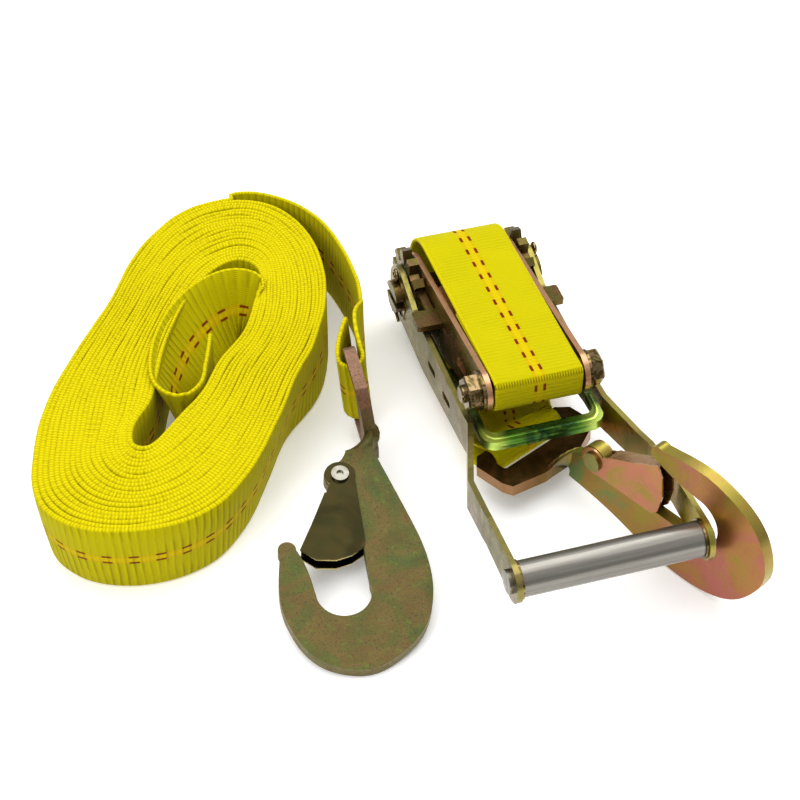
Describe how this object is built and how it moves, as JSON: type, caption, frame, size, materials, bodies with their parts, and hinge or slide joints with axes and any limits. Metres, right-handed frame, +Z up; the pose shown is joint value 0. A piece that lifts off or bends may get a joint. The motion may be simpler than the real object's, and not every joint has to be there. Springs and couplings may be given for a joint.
{
  "type": "ratchet tie down",
  "caption": "Webbing ratchet with pivoting handle, drum and release slider, a short hooked strap and a long coiled strap with a gated flat hook.",
  "frame": {"origin": "centre of the footprint, on the floor the object lies on", "axes": "+Z up; Y along the ratchet, with the drum end toward +Y and the grip toward -Y; +X from the coiled strap toward the ratchet"},
  "size_m": [0.3436, 0.372, 0.0793],
  "materials": {
    "webbing": "woven polyester, ribbed, fluorescent yellow with two dashed tracer threads",
    "zinc_plate": "yellow chromate zinc plate, olive, satin",
    "hook_steel": "yellow chromate zinc plate, speckled, matt",
    "gate_steel": "yellow chromate zinc plate, semi-gloss",
    "drum_steel": "yellow chromate zinc plate, dull",
    "slider_steel": "iridescent green chromate, glossy",
    "yellow_zinc": "bright yellow zinc plate",
    "rivet_steel": "bright zinc plate",
    "spring_steel": "drawn wire",
    "bright_aluminium": "drawn tube, lengthways streaks"
  },
  "bodies": {
    "base": {"base_plate_left": "zinc_plate", "base_plate_right": "zinc_plate", "base_cross_plate": "zinc_plate", "pawl_spring_seat": "zinc_plate", "base_bolt": "yellow_zinc", "bolt_nut": "yellow_zinc", "bolt_washer_left": "yellow_zinc", "bolt_washer_right": "yellow_zinc", "bolt_sleeve": "yellow_zinc", "short_strap_top": "webbing", "short_strap_wrap": "webbing", "base_pawl_spring": "spring_steel"},
    "drum": {"mandrel_upper": "drum_steel", "mandrel_lower": "drum_steel", "gear_left": "drum_steel", "gear_right": "drum_steel", "drum_washer_left": "drum_steel", "drum_washer_right": "drum_steel", "cotter_left": "drum_steel", "cotter_right": "drum_steel"},
    "base_pawl": {"base_pawl": "drum_steel"},
    "handle": {"handle_plate_left": "zinc_plate", "handle_plate_right": "zinc_plate", "handle_web": "zinc_plate", "grip_rod": "rivet_steel", "grip_washer_left": "yellow_zinc", "grip_washer_right": "yellow_zinc", "slider_spring": "spring_steel", "slider_spring_seat": "zinc_plate", "short_strap_lower": "webbing"},
    "slider": {"release_slider": "slider_steel"},
    "grip": {"grip_tube": "bright_aluminium"},
    "hook_right": {"hook_right": "hook_steel", "gate_rivet_right": "rivet_steel"},
    "gate_right": {"gate_right": "gate_steel"},
    "long_strap": {"long_strap_coil": "webbing", "long_strap_tail": "webbing", "long_strap_inner_end": "webbing"},
    "hook_left": {"hook_left": "hook_steel", "gate_rivet_left": "rivet_steel"},
    "gate_left": {"gate_left": "gate_steel"}
  },
  "joints": [
    {"name": "drum_turn", "type": "hinge", "parent": "base", "child": "drum", "pos_m": [0.09918, 0.0874, 0.0315], "axis": [1, 0, 0], "continuous": true},
    {"name": "base_pawl_slide", "type": "slide", "parent": "base", "child": "base_pawl", "axis": [0, -1, 0], "range_m": [0, 0.0055], "stiffness_N_per_m": 500, "springref_m": -0.012, "deforming": ["base_pawl_spring"]},
    {"name": "handle_swing", "type": "hinge", "parent": "base", "child": "handle", "pos_m": [0.09918, 0.0874, 0.0315], "axis": [1, 0, 0], "range_deg": [0, 175]},
    {"name": "slider_slide", "type": "slide", "parent": "handle", "child": "slider", "axis": [0, -1, 0], "range_m": [0, 0.006], "stiffness_N_per_m": 500, "springref_m": -0.012, "deforming": ["slider_spring"]},
    {"name": "grip_turn", "type": "hinge", "parent": "handle", "child": "grip", "pos_m": [0.09568, -0.1546, 0.0445], "axis": [1, 0, 0], "continuous": true},
    {"name": "hook_right_swing", "type": "hinge", "parent": "handle", "child": "hook_right", "pos_m": [0.09418, -0.02908, 0.01335], "axis": [-0.9063, -0.4226, 0], "range_deg": [-2, 0.3]},
    {"name": "gate_right_swing", "type": "hinge", "parent": "hook_right", "child": "gate_right", "pos_m": [0.11919, -0.07798, 0.03764], "axis": [0.9063, 0.4226, 0], "range_deg": [0, 14], "stiffness_Nm_per_rad": 0.08, "springref_deg": -20.05},
    {"name": "long_strap_shift", "type": "slide", "parent": "base", "child": "long_strap", "axis": [-1, 0, 0], "range_m": [0, 0.15]},
    {"name": "hook_left_swing", "type": "hinge", "parent": "long_strap", "child": "hook_left", "pos_m": [0.01245, 0.01655, 0.03757], "axis": [-0.13, -0.1839, 0.9743], "range_deg": [-10, 12]},
    {"name": "gate_left_swing", "type": "hinge", "parent": "hook_left", "child": "gate_left", "pos_m": [-0.01265, -0.04258, 0.02588], "axis": [-0.0083, -0.1906, 0.9816], "range_deg": [0, 24], "stiffness_Nm_per_rad": 0.08, "springref_deg": -20.05}
  ]
}
